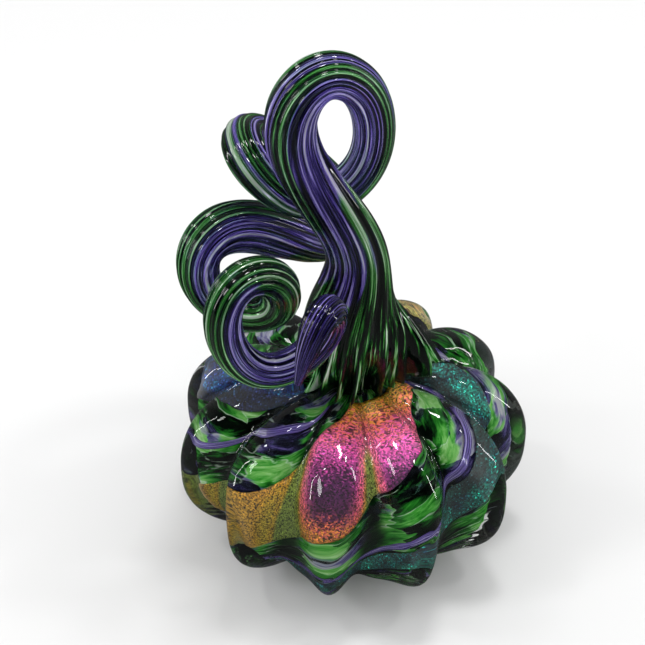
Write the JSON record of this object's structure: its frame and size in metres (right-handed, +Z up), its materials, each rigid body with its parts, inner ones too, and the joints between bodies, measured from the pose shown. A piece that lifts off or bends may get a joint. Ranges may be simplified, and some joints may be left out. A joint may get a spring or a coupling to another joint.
{
  "type": "glass pumpkin",
  "caption": "Blown glass pumpkin: hollow lobed body with dichroic strips cased in clear glass, flat foot, and a solid ribbed stem curled into loops.",
  "frame": {"origin": "centre of the flat foot, on the surface it stands on", "axes": "+Z up, -Y towards the viewer of the picture, +X to the viewer's right"},
  "size_m": [0.108, 0.1088, 0.1702],
  "materials": {
    "green_glass": "translucent green with dark streaks, glossy",
    "rose_gold_dichroic": "dichroic, metallic sparkle from gold to magenta",
    "teal_dichroic": "dichroic, metallic sparkle in teal",
    "pale_gold_dichroic": "dichroic, metallic sparkle in pale gold",
    "blue_dichroic": "dichroic, metallic sparkle in deep blue",
    "violet_glass": "translucent violet, glossy",
    "clear_glass": "clear, fire-polished",
    "striped_glass": "violet, green and clear stripes, glossy"
  },
  "bodies": {
    "root": {"colour_bubble": "green_glass", "rose_gold_strip": "rose_gold_dichroic", "teal_strip": "teal_dichroic", "pale_gold_strip": "pale_gold_dichroic", "blue_strip": "blue_dichroic", "violet_trail_right": "violet_glass", "violet_trail_left": "violet_glass", "clear_casing": "clear_glass", "stem": "striped_glass"}
  },
  "joints": []
}
